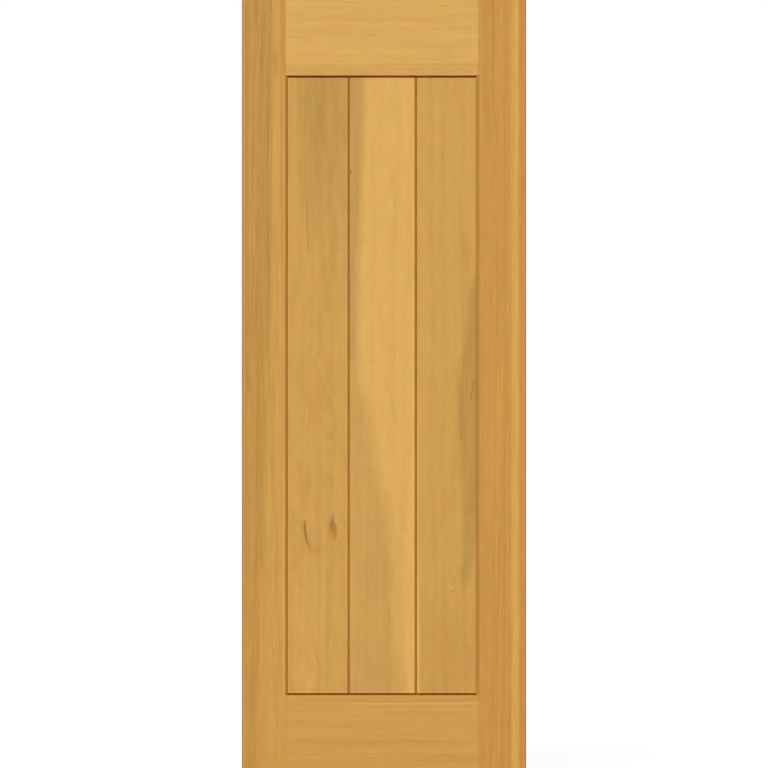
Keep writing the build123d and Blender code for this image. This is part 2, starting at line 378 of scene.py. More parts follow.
# Shared wood and metal effects
def growth_rings_group():
    """Late wood lines: the distance from a climbing pith, wavered by noise, counted in ring widths."""
    inputs = {"Board": "Vector"}
    inputs |= numbers("Pith Across", "Pith Depth", "Climb", "Ring Width", "Waver", "Seed")
    tree, wire, leave = new_group("growth_rings", inputs, ["Late Wood", "Ring Tone"])
    across, through, along = split(tree, wire["Board"])
    slow = swing(tree, wire["Board"], SLOW_WAVER_SIZE, wire["Seed"])
    quick = swing(tree, wire["Board"], QUICK_WAVER_SIZE, wire["Seed"])
    aside = across - wire["Pith Across"]
    below = through - wire["Pith Depth"] - along * wire["Climb"]
    reach = (aside * aside + below * below).root()
    wavered = reach + slow * wire["Waver"] * SLOW_WAVER + quick * wire["Waver"] * QUICK_WAVER
    count = wavered / wire["Ring Width"]
    part = count.fraction()
    tone_feeds = {"W": count * RING_TONE_PACE, "Scale": 1.0, "Detail": 0.0}
    tone = add(tree, "ShaderNodeTexNoise", tone_feeds, noise_dimensions="1D")
    plug(tree, part.rise(*LATE_WOOD_RISE) * part.fall(*LATE_WOOD_FALL), leave["Late Wood"])
    plug(tree, tone.outputs[0], leave["Ring Tone"])
    return tree


def fibres_group():
    """Fibres, streaks, dashes, pale flecks, hairlines and pores: noise drawn out along a waving grain."""
    outputs = ["Fibre", "Streak", "Dash", "Fleck", "Hair", "Pore"]
    tree, wire, leave = new_group("wood_fibres", {"Board": "Vector", **numbers("Wave", "Seed")}, outputs)
    across, through, along = split(tree, wire["Board"])
    wave = swing(tree, wire["Board"], GRAIN_WAVE_SIZE, wire["Seed"]) * wire["Wave"]
    bent_feeds = {"X": across + wave, "Y": through, "Z": along}
    bent = add(tree, "ShaderNodeCombineXYZ", bent_feeds).outputs[0]
    thin = noise(tree, bent, THIN_FIBRE_SIZE, wire["Seed"], detail=3.0)
    broad = noise(tree, bent, BROAD_FIBRE_SIZE, wire["Seed"])
    streaks = noise(tree, bent, STREAK_SIZE, wire["Seed"] + STREAK_SEED)
    dashes = noise(tree, bent, DASH_SIZE, wire["Seed"], detail=1.5)
    hairs = noise(tree, bent, HAIR_SIZE, wire["Seed"] + HAIR_SEED, detail=1.0)
    pores = noise(tree, bent, PORE_SIZE, wire["Seed"], detail=1.0)
    plug(tree, thin * THIN_FIBRE_SHARE + broad * BROAD_FIBRE_SHARE, leave["Fibre"])
    plug(tree, streaks.rise(*STREAK_RISE), leave["Streak"])
    plug(tree, dashes.rise(*DASH_RISE), leave["Dash"])
    plug(tree, dashes.fall(*FLECK_FALL), leave["Fleck"])
    plug(tree, hairs.rise(*HAIR_RISE), leave["Hair"])
    plug(tree, pores.rise(*PORE_RISE), leave["Pore"])
    return tree


def clouds_group():
    """Changes of hue and shade in the wood: round blotches of hue, shade a little longer than wide."""
    outputs = ["Rosy", "Mossy", "Shade"]
    tree, wire, leave = new_group("wood_clouds", {"Board": "Vector", "Seed": "Float"}, outputs)
    hue = noise(tree, wire["Board"], HUE_SIZE, wire["Seed"] + HUE_SEED)
    broad = noise(tree, wire["Board"], BROAD_SHADE_SIZE, wire["Seed"] + BROAD_SHADE_SEED)
    small = noise(tree, wire["Board"], SMALL_SHADE_SIZE, wire["Seed"] + SMALL_SHADE_SEED)
    shade = broad * BROAD_SHADE_SHARE + small * SMALL_SHADE_SHARE
    plug(tree, hue.rise(*ROSY_RISE), leave["Rosy"])
    plug(tree, hue.fall(*MOSSY_FALL), leave["Mossy"])
    plug(tree, shade.rise(*SHADE_RISE), leave["Shade"])
    return tree


def soft_line_group():
    """A soft line at a distance of 0 from its middle, from Low to High, thinning out at both ends."""
    inputs = numbers("Offset", "Along", "Low", "High", "Half Width", "Fade")
    tree, wire, leave = new_group("soft_line", inputs, ["Mask"])
    line = abs(wire["Offset"]).fall(0.0, wire["Half Width"])
    start = wire["Along"].rise(wire["Low"], wire["Low"] + wire["Fade"])
    stop = wire["Along"].fall(wire["High"] - wire["Fade"], wire["High"])
    plug(tree, line * start * stop, leave["Mask"])
    return tree


def soft_oval_group():
    """A leaning oval, soft from its core out: the distance from its middle, counted in its half sizes."""
    names = ("Middle Across", "Middle Along", "Half Width", "Half Length", "Lean", "Core")
    tree, wire, leave = new_group("soft_oval", numbers("Across", "Along", *names), ["Mask"])
    rise = wire["Along"] - wire["Middle Along"]
    aside = (wire["Across"] - wire["Middle Across"] - rise * wire["Lean"]) / wire["Half Width"]
    ahead = rise / wire["Half Length"]
    away = (aside * aside + ahead * ahead).root()
    plug(tree, away.fall(wire["Core"], 1.0), leave["Mask"])
    return tree


def recess_group():
    """Where painted shade, painted highlights and gathered stain go: masks of the bevel below a face, of its
    upper part and of the deep gap.
    """
    inputs = {"Board": "Vector", **numbers("Face", "Edge", "Reach")}
    tree, wire, leave = new_group("recess_stain_and_shade", inputs, ["Bevel", "Brow", "Gap"])
    across, through, _ = split(tree, wire["Board"])
    sunk = wire["Face"] - abs(through)
    near = across.near(wire["Edge"], wire["Reach"] - RECESS_EDGE, wire["Reach"])
    bevel = sunk.rise(*BEVEL_RISE) * near
    plug(tree, bevel, leave["Bevel"])
    plug(tree, bevel * sunk.fall(*BROW_FALL), leave["Brow"])
    plug(tree, sunk.rise(*GAP_RISE) * near, leave["Gap"])
    return tree


def brushing_group():
    """Fine brush lines and smudges: noise drawn out up the metal, and broad noise."""
    tree, wire, leave = new_group("brushed_lines", {"Metal": "Vector"}, ["Lines", "Smudge"])
    plug(tree, noise(tree, wire["Metal"], BRUSH_LINE_SIZE, BRUSH_SEED), leave["Lines"])
    plug(tree, noise(tree, wire["Metal"], SMUDGE_SIZE, SMUDGE_SEED, detail=3.0), leave["Smudge"])
    return tree


GROWTH_RINGS = growth_rings_group()
FIBRES = fibres_group()
CLOUDS = clouds_group()
SOFT_LINE = soft_line_group()
SOFT_OVAL = soft_oval_group()
RECESS = recess_group()
BRUSHING = brushing_group()


# Wood of one board
class Trail(NamedTuple):
    """A dark or pale line along the grain through (along, across) points, thinning out at both ends."""

    tint: tuple
    points: list
    half_width: float
    share: float = 1.0
    fade: float = 50.0

    def mask(self, wood):
        """Full on the smooth line through the points, and gone a half width away from it."""
        offset = wood.wavy - wood.line(self.points)
        ends = {"low": self.points[0][0], "high": self.points[-1][0], "fade": self.fade}
        line = wood.group(SOFT_LINE, offset=offset, along=wood.along, half_width=self.half_width, **ends)
        return line["Mask"]


class Patch(NamedTuple):
    """A soft oval patch, or with a core a knot; its middle and half size are (along, across)."""

    tint: tuple
    middle: tuple
    half_size: tuple
    share: float = 1.0
    lean: float = 0.0
    core: float = 0.0

    def mask(self, wood):
        """Full in the oval's core, gone at its rim."""
        places = {"middle_along": self.middle[0], "middle_across": self.middle[1], "lean": self.lean}
        sizes = {"half_length": self.half_size[0], "half_width": self.half_size[1], "core": self.core}
        return wood.group(SOFT_OVAL, across=wood.wavy, along=wood.along, **places, **sizes)["Mask"]


class BoardWood:
    """One board's wood, built in layers over its own millimetres: X across, Y through, Z along the grain."""

    def __init__(self, name, tone, seed, upright=True):
        self.material, self.tree = new_material(name)
        self.seed = seed
        feeds = {"Vector": add(self.tree, "ShaderNodeTexCoord").outputs["Object"], "Scale": UPRIGHT_SCALE}
        if not upright:
            feeds |= {"Scale": LEVEL_SCALE, "Rotation": LEVEL_TURN}
        self.board = add(self.tree, "ShaderNodeMapping", feeds).outputs[0]
        self.across, self.through, self.along = split(self.tree, self.board)
        sway = swing(self.tree, self.board, SWAY_SIZE, seed + SWAY_SEED, detail=3.0)
        self.wavy = self.across + sway * SWAY
        self.feather = swing(self.tree, self.board, FEATHER_SIZE, seed + FEATHER_SEED)
        self.colour = linear(tone)
        self.fibre = None
        self.relief = None

    def group(self, group_tree, **values):
        """A shared group on this board, with its values by socket name; gives its outputs as wires."""
        made = add(self.tree, "ShaderNodeGroup", node_tree=group_tree)
        if "Board" in made.inputs:
            plug(self.tree, self.board, made.inputs["Board"])
        for name, value in values.items():
            plug(self.tree, value, made.inputs[name.replace("_", " ").title()])
        return {socket.name: Wire(self.tree, socket) for socket in made.outputs}

    def tint(self, mask, tint):
        """Multiplies the wood by a tint where the mask is 1."""
        self.colour = multiply(self.tree, self.colour, tint, mask)

    def figure(self, pith, climb, ring_width, waver, line_share, tone_share):
        """Late wood lines of rings around a pith at (across, depth), and the change from ring to ring."""
        across, depth = pith
        rings = self.group(
            GROWTH_RINGS,
            pith_across=across,
            pith_depth=depth,
            climb=climb,
            ring_width=ring_width,
            waver=waver,
            seed=self.seed,
        )
        self.tint(rings["Late Wood"] * line_share, LATE_WOOD)
        self.tint(rings["Ring Tone"].rise(*RING_TONE_RISE) * tone_share, FIBRE)
        self.relief = rings["Late Wood"] * RING_RELIEF

    def fibres(self, fibre_share, streak_share, dash_share, wave):
        """Fibres, long streaks, dashes, flecks, hairlines and pores along the grain."""
        fibres = self.group(FIBRES, wave=wave, seed=self.seed)
        self.fibre = fibres["Fibre"]
        self.tint(self.fibre.rise(*FIBRE_RISE) * fibre_share, FIBRE)
        self.tint(fibres["Streak"] * streak_share, DASH)
        self.tint(fibres["Dash"] * dash_share, DASH)
        self.tint(fibres["Fleck"] * dash_share, FLECK)
        self.tint(fibres["Hair"] * HAIR_SHARE, HAIR)
        self.tint(fibres["Pore"] * PORE_SHARE, PORE)
        raised = self.relief + self.fibre * FIBRE_RELIEF
        self.relief = raised - fibres["Hair"] * HAIR_RELIEF - fibres["Pore"] * PORE_RELIEF

    def clouds(self, hue_share, shade_share):
        """Clouds of a rosier, a greener and a darker tone."""
        clouds = self.group(CLOUDS, seed=self.seed)
        self.tint(clouds["Rosy"] * hue_share, ROSY)
        self.tint(clouds["Mossy"] * hue_share, MOSSY)
        self.tint(clouds["Shade"] * shade_share, SHADY)

    def line(self, points):
        """The place across of a smooth line up the board through (along, across) points."""
        low, high = points[0][0], points[-1][0]
        left = min(across for along, across in points)
        width = max(across for along, across in points) - left + LINE_MARGIN
        made = add(self.tree, "ShaderNodeFloatCurve")
        curve = made.mapping.curves[0].points
        while len(curve) < len(points):
            curve.new(0.5, 0.5)
        for point, (along, across) in zip(curve, points):
            point.location = ((along - low) / (high - low), (across - left) / width)
        made.mapping.update()
        plug(self.tree, (self.along - low) / (high - low), made.inputs["Value"])
        return Wire(self.tree, made.outputs[0]) * width + left

    def beyond(self, points, softness, feathering=3.0):
        """A mask of the wood past a line, feathered into streaks along the grain."""
        past = self.wavy - self.line(points) + self.feather * (feathering * softness)
        return past.rise(-softness, softness)

    def streaks(self, size, seed):
        """Soft streaks along the grain, as a mask."""
        return noise(self.tree, self.board, size, self.seed + seed).rise(*SOFT_STREAK_RISE)

    def streaky(self, mask, share=0.40):
        """The mask with stronger and weaker streaks along the grain."""
        return mask * (self.streaks(HEART_STREAK_SIZE, HEART_STREAK_SEED) * share + (1.0 - share))

    def streaked(self, tint, width, length, seed, share=1.0):
        """Lays soft streaks of a tint along the grain."""
        self.tint(self.streaks((width, width, length), seed) * share, tint)

    def marks(self, marks):
        """Lays trails and patches over the wood."""
        for mark in marks:
            self.tint(mark.mask(self) * mark.share, mark.tint)

    def recess(self, face, edge=0.0, reach=WHOLE_DOOR_REACH):
        """Masks of the bevel, its upper part and the gap near an edge, below a face."""
        return self.group(RECESS, face=face, edge=edge, reach=reach)

    def outer_arris_shade(self, edge):
        """Painted shade on the rounded arrises of a stile's outer edge, near its face."""
        near_face = abs(self.through).rise(*OUTER_ARRIS_RISE)
        self.tint(self.across.near(edge, *OUTER_ARRIS_LINE) * near_face, ARRIS_SHADE)

    def end_grain(self):
        """Darker wood on a stile's two sawn ends."""
        self.tint(abs(self.along - DOOR_MIDDLE).rise(*END_GRAIN_RISE), END_GRAIN)

    def finish(self):
        """A satin clear finish over the colour, with the fibres just felt in it."""
        bump_feeds = {"Strength": GRAIN_BUMP, "Distance": GRAIN_DEPTH, "Height": self.relief}
        bump = add(self.tree, "ShaderNodeBump", bump_feeds)
        feeds = {"Base Color": self.colour, "Specular IOR Level": FINISH_SPECULAR, "Normal": bump.outputs[0]}
        feeds["Roughness"] = self.fibre * FIBRE_ROUGHNESS + FINISH_ROUGHNESS
        shader = add(self.tree, "ShaderNodeBsdfPrincipled", feeds)
        add(self.tree, "ShaderNodeOutputMaterial", {"Surface": shader.outputs[0]})
        return self.material


# Edges and joints that the boards share
BETWEEN_RAILS_EDGE = 2.0
RAIL_END_RISE = (OPENING_HALF + 2.5, OPENING_HALF + 5.5)
PLANK_TOP_SHADE = (PLANK_TOP - 2.8, PLANK_TOP - 1.0)
PLANK_BOTTOM_SHADE = (PLANK_BOTTOM + 0.6, PLANK_BOTTOM + 1.6)
PLANK_TOP_GLINT = PLANK_TOP - 4.2
PLANK_BOTTOM_GLINT = PLANK_BOTTOM + 4.4
PLANK_BOTTOM_GLINT_SHARE = 0.6
LIT_GAP_FALL = (PLANK_BOTTOM - 2.8, PLANK_BOTTOM - 2.0)


def between_rails(wood):
    """A mask of a stile's height between the two rails."""
    above = wood.along.rise(OPENING_BOTTOM - BETWEEN_RAILS_EDGE, OPENING_BOTTOM)
    return above * wood.along.fall(OPENING_TOP, OPENING_TOP + BETWEEN_RAILS_EDGE)


def stile_recess(wood, edge, bevel_tint, brow_tint):
    """Painted shade and stain in the bevel along a stile's inner edge, painted light and shade on the
    bevel's upper part, between the rails, and painted shade in the gap behind it.
    """
    recess = wood.recess(FRAME_FACE, edge, FRAME_RECESS_REACH)
    between = between_rails(wood)
    wood.tint(recess["Bevel"] * between, bevel_tint)
    wood.tint(recess["Brow"] * between, brow_tint)
    wood.tint(recess["Gap"] * between, TOP_GAP_SHADE)


def rail_recess(wood, edge, arris_tint, gap_tint):
    """Painted light and shade on the arris along a rail's inner edge, and painted shade in the gap behind
    it.
    """
    recess = wood.recess(FRAME_FACE, edge, FRAME_RECESS_REACH)
    wood.tint(recess["Bevel"], arris_tint)
    wood.tint(recess["Gap"], gap_tint)


def rail_ends(wood):
    """A darker hairline where a rail's ends meet the stiles."""
    wood.tint(abs(wood.along - OPENING_MIDDLE).rise(*RAIL_END_RISE), JOINT_LINE)


def plank_bevel(wood, edge, tint):
    """Painted shade and stain in the bevel down a plank's right side, painted shade on its upper part, and a
    painted highlight along the arris beside it.
    """
    recess = wood.recess(PLANK_FACE, edge, PLANK_BEVEL_REACH)
    wood.tint(recess["Bevel"], tint)
    wood.tint(recess["Brow"], PLANK_BROW_SHADE)
    wood.tint(wood.across.near(edge - PLANK_BEVEL_REACH, *BEVEL_LINE), GLINT)


def plank_edges(wood, left):
    """A painted highlight down a plank's left arris and along lines near its ends, painted shade on its
    ends, and painted shade on the end tongues in the gaps, lighter low in the bottom gap where light
    reaches.
    """
    wood.tint(wood.across.near(left, *PLANK_ARRIS_LINE), GLINT)
    wood.tint(wood.along.near(PLANK_TOP_GLINT, *PLANK_TOP_LINE), ROSY_GLINT)
    bottom_glint = wood.along.near(PLANK_BOTTOM_GLINT, *PLANK_BOTTOM_LINE)
    wood.tint(bottom_glint * PLANK_BOTTOM_GLINT_SHARE, GLINT)
    gap = wood.recess(PLANK_FACE)["Gap"]
    board = gap.inverse()
    wood.tint(wood.along.rise(*PLANK_TOP_SHADE) * board, PLANK_TOP_END_SHADE)
    wood.tint(wood.along.fall(*PLANK_BOTTOM_SHADE) * board, PLANK_BOTTOM_END_SHADE)
    high = wood.along.rise(OPENING_BOTTOM, OPENING_TOP)
    wood.tint(gap * high, TOP_GAP_SHADE)
    wood.tint(gap * high.inverse(), BOTTOM_GAP_SHADE)
    wood.tint(gap * wood.along.fall(*LIT_GAP_FALL), LIT_GAP)


# Boards and dowels; places and half sizes on a board are (along, across) in the door's millimetres
HINGE_HEART_EDGE = [
    (0, -316), (415, -313), (540, -307), (600, -300),
    (915, -294), (1103, -288), (1328, -284), (2032, -279),
]
HINGE_STRIP_FALL = (-348.5, -346.5)
BESIDE_HINGE_BEVEL = OPENING_LEFT - 8.0
HINGE_STILE_MARKS = [
    # Beside the top rail
    Trail(PALE, [(1930, -336), (2090, -336)], half_width=2.0),
    Trail(DARK, [(1790, -304), (2090, -305)], half_width=2.6, share=0.7),
    Trail(DASH, [(1770, -253), (2090, -253)], half_width=13.0, share=0.8),
    Trail(DASH, [(1790, -284), (2090, -284)], half_width=9.0, share=0.35),
    Trail(DARK, [(1940, -281), (1985, -281)], half_width=2.0, fade=15.0),
    Trail(GLEAM, [(1795, -326), (1915, -327)], half_width=2.0),
    Patch(RUDDY, (1950, -320), (60, 12), share=0.5),
    Patch(PALE, (1900, -271), (70, 10), share=0.4),
    Patch(SHADY, (1825, -272), (45, 14), share=0.7),
    # Beside the planks
    Patch(PALE, (1620, -270), (190, 11), share=0.7),
    Trail(RUDDY, [(1300, -255), (1500, -256), (1795, -256)], half_width=8.0, share=0.55),
    Trail(SHADY, [(1290, -289), (1500, -291), (1730, -291)], half_width=3.5),
    Trail(GLEAM, [(1335, -324), (1422, -324)], half_width=2.0, fade=20.0),
    Trail(SHADY, [(1090, -288), (1355, -286)], half_width=2.4),
    Trail(PALE, [(960, -296), (1250, -293)], half_width=5.0, share=0.5),
    Trail(PALE, [(460, -330), (630, -329)], half_width=4.0, share=0.7),
    Trail(PALE, [(350, -275), (730, -275)], half_width=7.0, share=0.5),
    Trail(SHADY, [(340, -300), (500, -300)], half_width=9.0, share=0.35),
    Trail(RUDDY, [(250, -260), (480, -262)], half_width=2.0, share=0.6),
    Patch(DARK, (353, -277), (9, 3)),
    Patch(PALE, (330, -337), (100, 14), share=0.5),
    Patch(SHADY, (290, -264), (80, 22), share=0.3),
    Patch(DARK, (266, -274), (14, 2.5)),
    # Beside the bottom rail
    Patch(SHADY, (190, -297), (80, 16), share=0.35),
]


def hinge_stile_wood():
    """Green-brown heart along the outer side, pale wood inside, an orange strip at the edge."""
    wood = BoardWood("hinge_stile_wood", HINGE_STILE_TONE, seed=1.0)
    heart = wood.beyond(HINGE_HEART_EDGE, softness=8.0).inverse()
    strip = wood.across.fall(*HINGE_STRIP_FALL)
    wood.tint(wood.streaky(heart) * strip.inverse(), GREEN_HEART)
    wood.tint(strip, ORANGE)
    wood.figure(pith=(-298, 60), climb=0.004, ring_width=5.0, waver=3.0, line_share=0.35, tone_share=0.5)
    wood.fibres(fibre_share=0.8, streak_share=0.9, dash_share=0.6, wave=2.0)
    wood.clouds(hue_share=0.5, shade_share=0.25)
    wood.marks(HINGE_STILE_MARKS)
    # Painted highlight along the face beside the bevel, between the rails
    wood.tint(wood.across.near(BESIDE_HINGE_BEVEL, *BEVEL_LINE) * between_rails(wood), GLINT)
    stile_recess(wood, OPENING_LEFT, HINGE_BEVEL_STAIN_AND_SHADE, HINGE_BEVEL_BROW_HIGHLIGHT)
    wood.outer_arris_shade(HINGE_EDGE)
    wood.end_grain()
    return wood.finish()


PALE_BAND_RISE = (316.0, 319.5)
PALE_BAND_FALL = (335.5, 338.5)
FREE_EDGE_RISE = (337.5, 339.5)
BESIDE_LOCK_BEVEL = OPENING_RIGHT + 8.2
LOCK_STILE_MARKS = [
    # Beside the top rail
    Trail(SHADY, [(1780, 319), (2090, 318)], half_width=7.0, share=0.4),
    Trail(SHADY, [(1780, 342), (2090, 342)], half_width=3.0, share=0.5),
    Trail(SHADY, [(1760, 271), (1850, 271), (2090, 269)], half_width=7.0, share=0.4),
    Trail(DARK, [(1760, 274), (1850, 274), (2090, 272)], half_width=2.8, share=0.9),
    Patch(RUDDY, (1960, 254), (45, 22), share=0.5),
    Patch(PALE, (1880, 297), (110, 20), share=0.15),
    # Beside the planks
    Trail(SHADY, [(1290, 255), (1660, 256), (2060, 256)], half_width=15.0, share=0.45, fade=120.0),
    Trail(RUDDY, [(1630, 283), (1700, 276), (1790, 273)], half_width=5.0, share=0.7),
    Trail(PALE, [(1300, 245), (1930, 245)], half_width=2.2, share=0.4),
    Trail(PALE, [(1410, 282), (1630, 282)], half_width=2.4, share=0.6),
    Trail(RUDDY, [(1560, 300), (1770, 300)], half_width=3.0, share=0.4),
    Trail(SHADY, [(1050, 292), (1300, 292)], half_width=2.4, share=0.8),
    Trail(PALE, [(1030, 278), (1360, 279)], half_width=2.2, share=0.4),
    Patch(PALE, (920, 275), (330, 42), share=0.35),
    Trail(DARK, [(715, 245), (805, 245)], half_width=2.2, share=0.5),
    Trail(DARK, [(270, 278), (353, 282), (428, 284), (547, 288), (690, 288)], half_width=3.4, share=0.6),
    # Beside the bottom rail
    Trail(DARK, [(112, 313.5), (212, 313.5)], half_width=2.0, share=0.8),
]


def lock_stile_wood():
    """Orange wood with fine upright streaks and a straight pale band near the free edge."""
    wood = BoardWood("lock_stile_wood", LOCK_STILE_TONE, seed=2.0)
    wood.tint(wood.across.rise(*PALE_BAND_RISE) * wood.across.fall(*PALE_BAND_FALL), PALE_BAND)
    wood.tint(wood.across.rise(*FREE_EDGE_RISE), FREE_EDGE)
    wood.figure(pith=(250, -90), climb=0.003, ring_width=4.5, waver=2.5, line_share=0.35, tone_share=0.6)
    wood.fibres(fibre_share=0.8, streak_share=0.5, dash_share=0.4, wave=2.0)
    wood.clouds(hue_share=0.9, shade_share=0.25)
    wood.streaked(ROSY, width=9, length=420, seed=21)
    wood.streaked(MOSSY, width=7, length=300, seed=23, share=0.6)
    wood.streaked(SHADY, width=12, length=260, seed=25, share=0.2)
    wood.marks(LOCK_STILE_MARKS)
    stile_recess(wood, OPENING_RIGHT, LOCK_BEVEL_STAIN_AND_SHADE, LOCK_BEVEL_BROW_SHADE)
    # Painted shade along the face beside the bevel, between the rails
    wood.tint(wood.across.near(BESIDE_LOCK_BEVEL, *LOCK_BEVEL_LINE) * between_rails(wood), LOCK_BEVEL_SIDE_SHADE)
    wood.outer_arris_shade(LOCK_EDGE)
    wood.end_grain()
    return wood.finish()


RAIL_FOOT_FALL = (1817, 1822)
RAIL_FOOT_SHARE = 0.5
RAIL_DARK_PLACE = OPENING_TOP + 4.0
RAIL_DARK_SHARE = 0.35
RAIL_GLINT_PLACE = OPENING_TOP + 1.4
TOP_RAIL_END_RISE = (OPENING_HALF + 3.45, OPENING_HALF + 4.45)
TOP_RAIL_MARKS = [
    Patch(ROSY, (-137, 1915), (60, 30)),
    Patch(ROSY, (88, 1928), (55, 16)),
    Patch(ROSY, (-170, 1844), (110, 26)),
    Trail(DASH, [(-130, 1973), (-30, 1972)], half_width=2.2),
    Trail(DASH, [(-225, 1934), (-155, 1922)], half_width=2.0),
    Trail(DASH, [(-242, 1885), (-150, 1883)], half_width=2.2),
    Trail(DASH, [(60, 1850), (200, 1849)], half_width=2.0),
    Trail(DASH, [(-30, 1819), (290, 1818)], half_width=3.6, share=0.65),
    Trail(PALE, [(-95, 1846), (-30, 1846)], half_width=2.6, share=0.5),
    Trail(PALE, [(185, 1924), (230, 1916)], half_width=2.6, share=0.6),
]


def top_rail_wood():
    """Pale wood with short dark dashes, a shade darker along its lower edge."""
    wood = BoardWood("top_rail_wood", TOP_RAIL_TONE, seed=3.0, upright=False)
    wood.figure(pith=(1700, 40), climb=0.01, ring_width=11.0, waver=8.0, line_share=0.06, tone_share=0.25)
    wood.fibres(fibre_share=0.15, streak_share=0.32, dash_share=0.85, wave=14.0)
    wood.clouds(hue_share=0.5, shade_share=0.25)
    wood.streaked(FIBRE, width=12, length=380, seed=27, share=0.4)
    wood.marks(TOP_RAIL_MARKS)
    wood.tint(wood.wavy.fall(*RAIL_FOOT_FALL) * RAIL_FOOT_SHARE, RAIL_FOOT)
    wood.tint(wood.across.near(RAIL_DARK_PLACE, *RAIL_DARK_LINE) * RAIL_DARK_SHARE, DASH)
    # Painted highlight along the face just above the lower edge
    wood.tint(wood.across.near(RAIL_GLINT_PLACE, *RAIL_GLINT_LINE), GLINT)
    wood.tint(abs(wood.along - OPENING_MIDDLE).rise(*TOP_RAIL_END_RISE), TOP_RAIL_END)
    rail_recess(wood, OPENING_TOP, TOP_RAIL_ARRIS_SHADE, TOP_GAP_SHADE)
    rail_ends(wood)
    return wood.finish()


BOTTOM_RAIL_MARKS = [
    # Below the planks
    Trail(GLEAM, [(-110, 221.5), (-15, 220.7), (300, 220.7)], half_width=3.4, share=0.8),
    Patch(MOSSY, (-180, 232), (90, 9)),
    Patch(KNOT, (-205.7, 202), (2.6, 2.0)),
    Patch(SHADY, (-62, 190.7), (34, 3), share=0.8),
    # Middle and foot
    Trail(PALE, [(-245, 158), (-60, 155)], half_width=4.0, share=0.4),
    Trail(RUDDY, [(-245, 128), (0, 126), (240, 130)], half_width=3.0, share=0.35),
    Trail(SHADY, [(95, 84), (140, 92), (200, 80)], half_width=3.0, share=0.9),
    Trail(SHADY, [(110, 70), (160, 76), (230, 66)], half_width=3.0, share=0.7),
    Patch(PALE, (-24, 91), (24, 5), share=0.6),
]


def bottom_rail_wood():
    """Wood with a pale line below the planks and wavy figure near the foot."""
    wood = BoardWood("bottom_rail_wood", BOTTOM_RAIL_TONE, seed=4.0, upright=False)
    wood.figure(pith=(40, 20), climb=0.03, ring_width=10.0, waver=12.0, line_share=0.10, tone_share=0.30)
    wood.fibres(fibre_share=0.15, streak_share=0.40, dash_share=0.15, wave=12.0)
    wood.clouds(hue_share=0.4, shade_share=0.25)
    wood.streaked(FIBRE, width=12, length=380, seed=27, share=0.6)
    wood.marks(BOTTOM_RAIL_MARKS)
    rail_recess(wood, OPENING_BOTTOM, BOTTOM_RAIL_ARRIS_HIGHLIGHT, BOTTOM_GAP_SHADE)
    rail_ends(wood)
    return wood.finish()


LEFT_SHADE_EDGE = [(240, -190), (1300, -190), (1500, -206), (1800, -214)]
LEFT_SHADE_RISE = (1180, 1700)
LEFT_SHADE_SHARE = 0.8
LEFT_KNOT = [(600, -183.5), (625, -192.5), (639, -195.5), (659, -198), (690, -196.5)]
PLANK_LEFT_FOOT_LINE = [(286, -155), (316, -162), (360, -174), (428, -180), (522, -179), (600, -170)]
PLANK_LEFT_SLANTS = [
    (PALE, [(930, -120), (1053, -159), (1140, -196)]),
    (SHADY, [(925, -114), (1003, -146), (1110, -184)]),
    (PALE, [(850, -128), (905, -172), (970, -220)]),
    (SHADY, [(850, -114), (915, -150), (975, -182)]),
    (SHADY, [(735, -119), (800, -144), (850, -166)]),
]
PLANK_LEFT_MARKS = [
    # Upper part
    Patch(GREEN_HEART, (1660, -166), (250, 46), share=0.28),
    Patch(SHADY, (1630, -97), (60, 10), share=0.6),
    Patch(SHADY, (1240, -138), (130, 16), share=0.35),
    Trail(DARK, [(1500, -167), (1840, -168.5)], half_width=5.5, share=0.32),
    Trail(DARK, [(1490, -196), (1640, -196)], half_width=3.0, share=0.5),
    Trail(DARK, [(1320, -190), (1510, -193)], half_width=4.5, share=0.9),
    Trail(SHADY, [(1490, -210), (1830, -211)], half_width=10.0, share=0.45),
    # Slanting figure in the middle
    *[Trail(tint, points, half_width=10.0, share=0.55, fade=80.0) for tint, points in PLANK_LEFT_SLANTS],
    Patch(ROSY, (1010, -170), (130, 60), share=0.7),
    Patch(GLEAM, (871, -197.5), (4, 3), share=0.8),
    Patch(GLEAM, (881, -125), (5, 3), share=0.7),
    # Around the two knots
    Patch(SHADY, (772, -196), (60, 34), share=0.4),
    Patch(RUDDY, (775, -150), (26, 18), share=0.4),
    Patch(SHADY, (718, -195), (26, 20), share=0.4),
    Patch(RUDDY, (690, -225), (60, 20), share=0.4),
    Patch(RUDDY, (606, -172), (22, 40), share=0.6),
    # Right knot
    Patch(SHADY, (655, -132), (46, 18), share=0.7),
    Patch(DARK, (661, -131), (36, 10)),
    Patch(KNOT_RED, (649, -122.5), (30, 8), core=0.3),
    Patch(KNOT, (670, -131), (27, 7), share=0.45),
    Trail(KNOT, [(655, -125), (680, -127), (704, -128)], half_width=4.0, share=0.6, fade=20.0),
    # Left knot
    Trail(RUDDY, LEFT_KNOT, half_width=12.0, share=0.5, fade=25.0),
    Trail(KNOT, LEFT_KNOT, half_width=5.5, share=0.85, fade=30.0),
    # Foot
    Patch(PALE, (440, -180), (220, 65), share=0.75),
    Patch(PALE, (290, -185), (80, 65), share=0.9),
    Patch(ROSY, (310, -190), (120, 70), share=0.9),
    Trail(SHADY, PLANK_LEFT_FOOT_LINE, half_width=6.0, share=0.6),
    Trail(SHADY, [(350, -140), (585, -141)], half_width=3.0, share=0.5),
]


